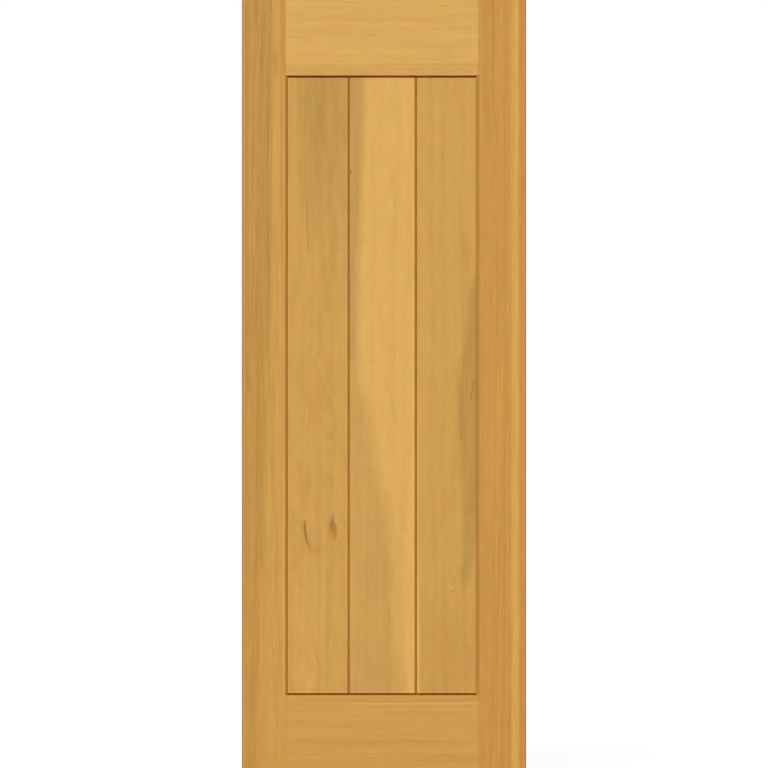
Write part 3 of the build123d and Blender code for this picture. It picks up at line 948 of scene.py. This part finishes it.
def plank_left_wood():
    """Flat-sawn plank with a shaded upper part, slanting figure in the middle and two knots below."""
    wood = BoardWood("plank_left_wood", PLANK_LEFT_TONE, seed=5.0)
    shaded = wood.along.rise(*LEFT_SHADE_RISE) * wood.beyond(LEFT_SHADE_EDGE, softness=12.0)
    wood.tint(shaded * LEFT_SHADE_SHARE, SHADY)
    wood.figure(pith=(-40, 45), climb=0.012, ring_width=13.0, waver=20.0, line_share=0.08, tone_share=0.55)
    wood.fibres(fibre_share=0.15, streak_share=0.15, dash_share=0.2, wave=10.0)
    wood.clouds(hue_share=1.0, shade_share=0.6)
    wood.marks(PLANK_LEFT_MARKS)
    plank_bevel(wood, LEFT_JOINT, LEFT_PLANK_BEVEL_STAIN_AND_SHADE)
    plank_edges(wood, OPENING_LEFT)
    return wood.finish()


MIDDLE_LOWER_EDGE = [
    (240, 41), (290, 35), (415, 19), (572, 15), (678, 6),
    (728, -7), (790, -22), (853, -35), (978, -50),
]
MIDDLE_UPPER_EDGE = [(1040, -61), (1228, -66), (1478, -56), (1790, -47)]
MIDDLE_FRINGE_WIDTH = 22
MIDDLE_FRINGE_TOP = (1060, -80)
MIDDLE_FRINGE_FALL = (960, 1060)
MIDDLE_FRINGE_SHARE = 0.35
MIDDLE_UPPER_RISE = (1000, 1140)
MIDDLE_HEART_SHARE = 0.90
MIDDLE_LOWER_HEART_SHARE = 0.64
MIDDLE_UPPER_SHADE_SHARE = 0.65
PLANK_MIDDLE_MARKS = [
    # Upper part
    Patch(MOSSY, (1730, 19), (60, 18)),
    Patch(MOSSY, (1690, -14), (80, 16)),
    Patch(KNOT, (1549, -83.5), (8, 4.5), lean=0.3, share=0.8),
    Patch(SHADY, (1526, 20), (34, 13), share=0.4),
    Trail(SHADY, [(1300, 30), (1530, 28)], half_width=4.0, share=0.35),
    # Middle
    Patch(DARK, (1112, 25), (30, 2.2), share=0.5),
    Patch(PALE, (1062, -22), (12, 20), share=0.5),
    Patch(PALE, (990, -24), (9, 18), share=0.4),
    Trail(SHADY, [(870, 48), (980, 18), (1090, -4)], half_width=8.0, share=0.4, fade=80.0),
    # Lower heart
    Patch(PALE, (690, -78), (60, 16), share=0.3),
    Patch(DARK, (560, 0), (100, 22), share=0.35),
    Patch(PALE, (480, -80), (180, 20), share=0.7),
    Patch(RUDDY, (300, -20), (70, 50), share=0.12),
    Trail(SHADY, [(470, -15), (715, -16)], half_width=2.6, share=0.7),
    Trail(SHADY, [(460, -43), (620, -44)], half_width=5.0, share=0.5),
    Trail(SHADY, [(400, 13), (470, 13)], half_width=2.4, share=0.8, fade=20.0),
]


def middle_heart(wood):
    """Brown heart left of its edge, darker above the middle, with a paler fringe along its lower part."""
    past_heart = wood.beyond(MIDDLE_LOWER_EDGE + MIDDLE_UPPER_EDGE, softness=14.0, feathering=1.4)
    heart = wood.streaky(past_heart.inverse(), share=0.15)
    upper = wood.along.rise(*MIDDLE_UPPER_RISE)
    strength = upper * (1.0 - MIDDLE_LOWER_HEART_SHARE) + MIDDLE_LOWER_HEART_SHARE
    wood.tint(heart * strength * MIDDLE_HEART_SHARE, BROWN_HEART)
    wood.tint(heart * upper * MIDDLE_UPPER_SHADE_SHARE, SHADY)
    fringe_edge = [(along, across + MIDDLE_FRINGE_WIDTH) for along, across in MIDDLE_LOWER_EDGE]
    fringe = wood.beyond([*fringe_edge, MIDDLE_FRINGE_TOP], softness=10.0).inverse()
    wood.tint(fringe * wood.along.fall(*MIDDLE_FRINGE_FALL) * MIDDLE_FRINGE_SHARE, BROWN_HEART)


def plank_middle_wood():
    """The palest plank, with brown heart down its left side that widens below the middle."""
    wood = BoardWood("plank_middle_wood", PLANK_MIDDLE_TONE, seed=6.0)
    middle_heart(wood)
    wood.figure(pith=(150, 60), climb=0.02, ring_width=15.0, waver=18.0, line_share=0.05, tone_share=0.40)
    wood.fibres(fibre_share=0.12, streak_share=0.08, dash_share=0.1, wave=10.0)
    wood.clouds(hue_share=1.0, shade_share=0.35)
    wood.marks(PLANK_MIDDLE_MARKS)
    plank_bevel(wood, RIGHT_JOINT, MIDDLE_PLANK_BEVEL_STAIN_AND_SHADE)
    plank_edges(wood, LEFT_JOINT)
    return wood.finish()


BROWN_PATCH_EDGE = [
    (240, 260), (470, 230), (516, 192), (603, 200), (728, 198), (853, 187),
    (978, 186), (1134, 200), (1240, 214), (1400, 245), (1800, 260),
]
BROWN_TAIL_EDGE = [(470, 186), (530, 212), (580, 223), (630, 232), (690, 248)]
ABOVE_TAIL_RISE = (620, 690)
BROWN_TAIL_RISE = (450, 560)
PALE_LINE_EDGE = [(240, 91.0), (480, 88.8), (700, 87.2), (1160, 86.0)]
PALE_LINE_FALL = (-2.5, 1.8)
PALE_LINE_TOP_FALL = (850, 1160)
PALE_LINE_SHARE = 0.5
PALE_LINE_FOOT_FALL = (430, 600)
PALE_LINE_FOOT_SHARE = 0.55
FOOT_SHADE_FALL = (380, 540)
FOOT_SHADE_SHARE = 0.42
PLANK_RIGHT_MARKS = [
    # Upper part
    Patch(ROSY, (1750, 178), (40, 22)),
    Patch(KNOT, (1635.7, 155), (4, 2), share=0.4),
    Trail(PALE, [(1440, 135), (1790, 134)], half_width=9.0, share=0.5, fade=120.0),
    Trail(SHADY, [(1500, 147), (1740, 147)], half_width=3.0, share=0.5),
    # Beside and in the brown patch
    Patch(RUDDY, (1350, 204), (60, 20), share=0.25),
    Patch(SHADY, (1300, 200), (210, 30), share=0.5),
    Patch(SHADY, (800, 172), (400, 24), share=0.3),
    Patch(SHADY, (660, 115), (260, 48), share=0.3),
    Trail(SHADY, [(840, 194), (980, 190), (1090, 201)], half_width=9.0, share=0.45, fade=90.0),
    Trail(MOSSY, [(850, 130), (1130, 130)], half_width=6.0, fade=90.0),
    Trail(KNOT, [(970, 215), (1036, 227)], half_width=3.6, share=0.5, fade=18.0),
    Trail(PALE, [(970, 211), (1010, 214)], half_width=2.2, share=0.5, fade=14.0),
    # Foot
    Patch(GLEAM, (513, 164), (9, 5), lean=-0.6, share=0.6),
    Patch(KNOT, (501.5, 170.3), (4.5, 3.5), share=0.6),
    Patch(ROSY, (340, 160), (130, 70), share=0.9),
    Patch(RUDDY, (330, 212), (60, 16), share=0.4),
]


def brown_patch(wood):
    """A brown patch right of its edge, cut off below by a slanting tail that fades towards the foot."""
    patch = wood.streaky(wood.beyond(BROWN_PATCH_EDGE, softness=11.0, feathering=2.0), share=0.3)
    in_tail = wood.beyond(BROWN_TAIL_EDGE, softness=9.0, feathering=1.5).inverse()
    kept = in_tail.larger(wood.along.rise(*ABOVE_TAIL_RISE))
    wood.tint(patch * kept * wood.along.rise(*BROWN_TAIL_RISE), BROWN_PATCH)


def pale_line(wood):
    """A pale line down the left edge, gone above the middle of the door and stronger at the foot."""
    line = (wood.across - wood.line(PALE_LINE_EDGE)).fall(*PALE_LINE_FALL)
    wood.tint(line * wood.along.fall(*PALE_LINE_TOP_FALL) * PALE_LINE_SHARE, GLEAM)
    wood.tint(line * wood.along.fall(*PALE_LINE_FOOT_FALL) * PALE_LINE_FOOT_SHARE, GLEAM)


def plank_right_wood():
    """Straight figure, a brown patch on the right and a pale line down the left edge."""
    wood = BoardWood("plank_right_wood", PLANK_RIGHT_TONE, seed=7.0)
    brown_patch(wood)
    wood.figure(pith=(20, 50), climb=0.01, ring_width=14.0, waver=14.0, line_share=0.05, tone_share=0.50)
    wood.fibres(fibre_share=0.12, streak_share=0.1, dash_share=0.1, wave=8.0)
    wood.clouds(hue_share=1.0, shade_share=0.35)
    wood.marks(PLANK_RIGHT_MARKS)
    pale_line(wood)
    wood.tint(wood.along.fall(*FOOT_SHADE_FALL) * FOOT_SHADE_SHARE, FOOT_SHADE)
    # Painted highlight down the right arris
    wood.tint(wood.across.near(OPENING_RIGHT, *PLANK_ARRIS_LINE), GLINT)
    plank_edges(wood, RIGHT_JOINT)
    return wood.finish()


def dowel_wood():
    """Bare pale dowel stock."""
    wood = BoardWood("dowel_wood", DOWEL_TONE, seed=8.0, upright=False)
    wood.figure(pith=(0, 30), climb=0.0, ring_width=3.0, waver=1.0, line_share=0.4, tone_share=0.3)
    wood.fibres(fibre_share=0.6, streak_share=0.3, dash_share=0.3, wave=2.0)
    return wood.finish()


# Steel of the hinges and screws
HINGE_LEAF_ROUGHNESS = 0.36
HINGE_PIN_ROUGHNESS = 0.28
SCREW_ROUGHNESS = 0.34
BRUSH_ROUGHNESS = 0.12
SMUDGE_ROUGHNESS = 0.16
BRUSH_LINE = (0.86, 0.86, 0.87)
BRUSH_BUMP = 0.3
BRUSH_DEPTH = 0.00005


def brushed_steel(name, tone, roughness):
    """Satin steel of this middle roughness, with fine brush lines and faint smudges."""
    material, tree = new_material(name)
    place = add(tree, "ShaderNodeTexCoord").outputs["Object"]
    metal = add(tree, "ShaderNodeMapping", {"Vector": place, "Scale": UPRIGHT_SCALE})
    brushing = add(tree, "ShaderNodeGroup", node_tree=BRUSHING)
    plug(tree, metal.outputs[0], brushing.inputs["Metal"])
    lines = Wire(tree, brushing.outputs["Lines"])
    smudge = Wire(tree, brushing.outputs["Smudge"])
    uneven = lines * BRUSH_ROUGHNESS + smudge * SMUDGE_ROUGHNESS
    smoothest = roughness - (BRUSH_ROUGHNESS + SMUDGE_ROUGHNESS) * NOISE_MIDDLE
    bump_feeds = {"Strength": BRUSH_BUMP, "Distance": BRUSH_DEPTH, "Height": lines}
    bump = add(tree, "ShaderNodeBump", bump_feeds)
    feeds = {"Metallic": 1.0, "Roughness": uneven + smoothest, "Normal": bump.outputs[0]}
    feeds["Base Color"] = multiply(tree, linear(tone), BRUSH_LINE, lines.rise(*BRUSH_RISE))
    shader = add(tree, "ShaderNodeBsdfPrincipled", feeds)
    add(tree, "ShaderNodeOutputMaterial", {"Surface": shader.outputs[0]})
    return material


# Each piece gets its finish
def dress(node_names, material):
    """Gives CAD nodes their finish."""
    for name in node_names:
        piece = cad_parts[name]
        if not piece.material_slots:
            piece.data.materials.append(material)
        for slot in piece.material_slots:
            slot.material = material


HINGES = ("top", "middle", "bottom")
CORNERS = ("top_left", "top_right", "bottom_left", "bottom_right")
hinge_leaves = [f"{hinge}_hinge_{side}_leaf" for hinge in HINGES for side in ("frame", "door")]
hinge_pins = [f"{hinge}_hinge_pin" for hinge in HINGES]
hinge_screws = [f"{hinge}_hinge_screws" for hinge in HINGES]
dress(["hinge_stile"], hinge_stile_wood())
dress(["lock_stile"], lock_stile_wood())
dress(["top_rail"], top_rail_wood())
dress(["bottom_rail"], bottom_rail_wood())
dress(["plank_left"], plank_left_wood())
dress(["plank_middle"], plank_middle_wood())
dress(["plank_right"], plank_right_wood())
dress([f"{corner}_dowels" for corner in CORNERS], dowel_wood())
dress(hinge_leaves, brushed_steel("hinge_leaf_steel", HINGE_LEAF_TONE, HINGE_LEAF_ROUGHNESS))
dress(hinge_pins, brushed_steel("hinge_pin_steel", HINGE_PIN_TONE, HINGE_PIN_ROUGHNESS))
dress(hinge_screws, brushed_steel("screw_steel", SCREW_TONE, SCREW_ROUGHNESS))


# Studio
def mix_by_sight(tree, unseen, seen):
    """Shows one shader to camera, glossy and transmission rays and lights the scene with the other."""
    path = add(tree, "ShaderNodeLightPath").outputs
    sight = Wire(tree, path["Is Camera Ray"]).larger(path["Is Glossy Ray"])
    sight = sight.larger(path["Is Transmission Ray"])
    mixed = add(tree, "ShaderNodeMixShader", {0: sight, 1: unseen.outputs[0], 2: seen.outputs[0]})
    return mixed.outputs[0]


SKY_LIGHT = 0.40
BACKDROP_LIGHT = 1.0
SKY_COLOUR = (1.0, 1.0, 1.0, 1.0)
world = bpy.data.worlds.new("studio")
bpy.context.scene.world = world
world.use_nodes = True
sky = world.node_tree
sky.nodes.clear()
soft_light = add(sky, "ShaderNodeBackground", {"Color": SKY_COLOUR, "Strength": SKY_LIGHT})
backdrop = add(sky, "ShaderNodeBackground", {"Color": SKY_COLOUR, "Strength": BACKDROP_LIGHT})
add(sky, "ShaderNodeOutputWorld", {"Surface": mix_by_sight(sky, soft_light, backdrop)})

FLOOR_HALF_SIZE = 60.0
FLOOR_GLOW = 0.82
FLOOR_PAINT = (0.80, 0.80, 0.80, 1.0)
FLOOR_SHADOW_PAINT = (0.24, 0.24, 0.24, 1.0)


def floor_sheet():
    """A level square at the door's foot: the corners of a two by two grid."""
    side = np.array([-FLOOR_HALF_SIZE, FLOOR_HALF_SIZE])
    x, y = np.meshgrid(side, side)
    points = np.column_stack([x.ravel(), y.ravel(), np.full(x.size, cad_low.z)])
    mesh = bpy.data.meshes.new("floor")
    mesh.from_pydata(points.tolist(), [], [(0, 1, 3, 2)])
    return mesh


def floor_paint():
    """Matt pale paint that reads as white where no shadow falls."""
    material, tree = new_material("floor_paint")
    plain = add(tree, "ShaderNodeBsdfDiffuse", {"Color": FLOOR_PAINT})
    glow = add(tree, "ShaderNodeEmission", {"Strength": FLOOR_GLOW})
    shaded = add(tree, "ShaderNodeBsdfDiffuse", {"Color": FLOOR_SHADOW_PAINT})
    white = add(tree, "ShaderNodeAddShader", {0: glow.outputs[0], 1: shaded.outputs[0]})
    add(tree, "ShaderNodeOutputMaterial", {"Surface": mix_by_sight(tree, plain, white)})
    return material


floor = bpy.data.objects.new("floor", floor_sheet())
floor.data.materials.append(floor_paint())
bpy.context.scene.collection.objects.link(floor)


def sun_lamp(name, strength, spread, side):
    """A distant lamp that shines from a side, with a soft spread in degrees."""
    lamp = bpy.data.objects.new(name, bpy.data.lights.new(name, "SUN"))
    lamp.data.energy = strength
    lamp.data.angle = math.radians(spread)
    lamp.rotation_euler = Vector(side).to_track_quat("Z", "Y").to_euler()
    bpy.context.scene.collection.objects.link(lamp)


sun_lamp("front_lamp", strength=1.90, spread=25, side=(-0.25, -0.80, 0.62))
sun_lamp("back_lamp", strength=1.30, spread=40, side=(-0.45, 0.80, 0.55))

# Camera, square on to the front as in the photograph, which shows 1.92 m of the door's height
SHOWN_HEIGHT = 1.92
SHOWN_MIDDLE = 1.01945
LENS = 300.0
SENSOR = 36.0
camera = bpy.data.objects.new("camera", bpy.data.cameras.new("camera"))
camera.data.type = "PERSP"
camera.data.lens = LENS
camera.data.sensor_width = SENSOR
camera.location = (0, FRONT - SHOWN_HEIGHT * LENS / SENSOR, SHOWN_MIDDLE)
camera.rotation_euler = (math.pi / 2, 0, 0)
bpy.context.scene.collection.objects.link(camera)
bpy.context.scene.camera = camera
bpy.context.scene.view_settings.view_transform = "Standard"
